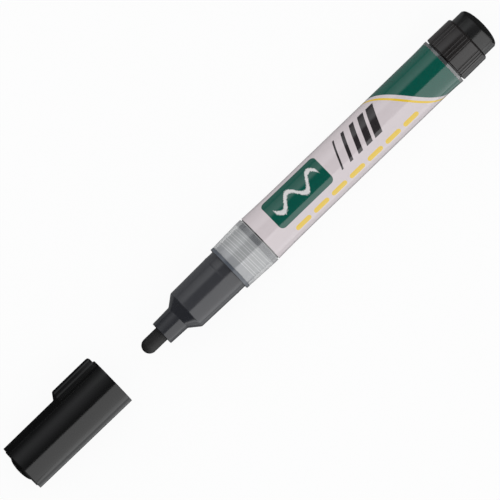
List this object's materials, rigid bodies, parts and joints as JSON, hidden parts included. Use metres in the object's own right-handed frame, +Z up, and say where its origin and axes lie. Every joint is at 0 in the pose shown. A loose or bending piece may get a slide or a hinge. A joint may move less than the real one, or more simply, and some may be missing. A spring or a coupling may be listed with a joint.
{
  "type": "liquid chalk marker",
  "caption": "Valve-action liquid chalk marker with a bullet nib, stepped nose, see-through collar, printed label, fluted tail plug and pull-off cap.",
  "frame": {"origin": "on the marker's axis, in the middle of the barrel's straight stretch", "axes": "+X along the axis from nib to tail, +Y towards the side of the cap's pad, +Z up; the marker lies on its side, steadied by the pad's lower edge"},
  "size_m": [0.1871, 0.018, 0.0165],
  "materials": {
    "milky_plastic": "milky see-through moulded plastic",
    "label_film": "glossy printed film",
    "nose_plastic": "glossy black moulded plastic",
    "seal_rubber": "smooth black seal",
    "nib_felt": "dense pressed fibre",
    "seat_rubber": "soft moulded seal",
    "white_plastic": "natural white moulded plastic",
    "spring_steel": "drawn wire",
    "ball_steel": "polished steel",
    "plug_plastic": "satin black moulded plastic",
    "cap_plastic": "glossy black moulded plastic",
    "inner_cap_plastic": "satin black moulded plastic"
  },
  "bodies": {
    "barrel": {"barrel_tube": "milky_plastic", "label_sleeve": "label_film", "nose_housing": "nose_plastic", "nose_gasket": "seal_rubber", "valve_seat": "seat_rubber", "valve_spring": "spring_steel", "valve_housing": "white_plastic", "tail_plug": "plug_plastic"},
    "nib_set": {"nib": "nib_felt", "valve_stem": "white_plastic"},
    "ball": {"mixing_ball": "ball_steel"},
    "cap": {"cap_shell": "cap_plastic", "inner_cap": "inner_cap_plastic"}
  },
  "joints": [
    {"name": "nib_press", "type": "slide", "parent": "barrel", "child": "nib_set", "axis": [1, 0, 0], "range_m": [0, 0.0025], "stiffness_N_per_m": 400, "deforming": ["valve_spring"]},
    {"name": "cap_slide", "type": "slide", "parent": "barrel", "child": "cap", "axis": [1, 0, 0], "range_m": [0, 0.0464]},
    {"name": "ball_roll", "type": "slide", "parent": "barrel", "child": "ball", "axis": [1, 0, 0], "range_m": [-0.0345, 0.0168]}
  ]
}
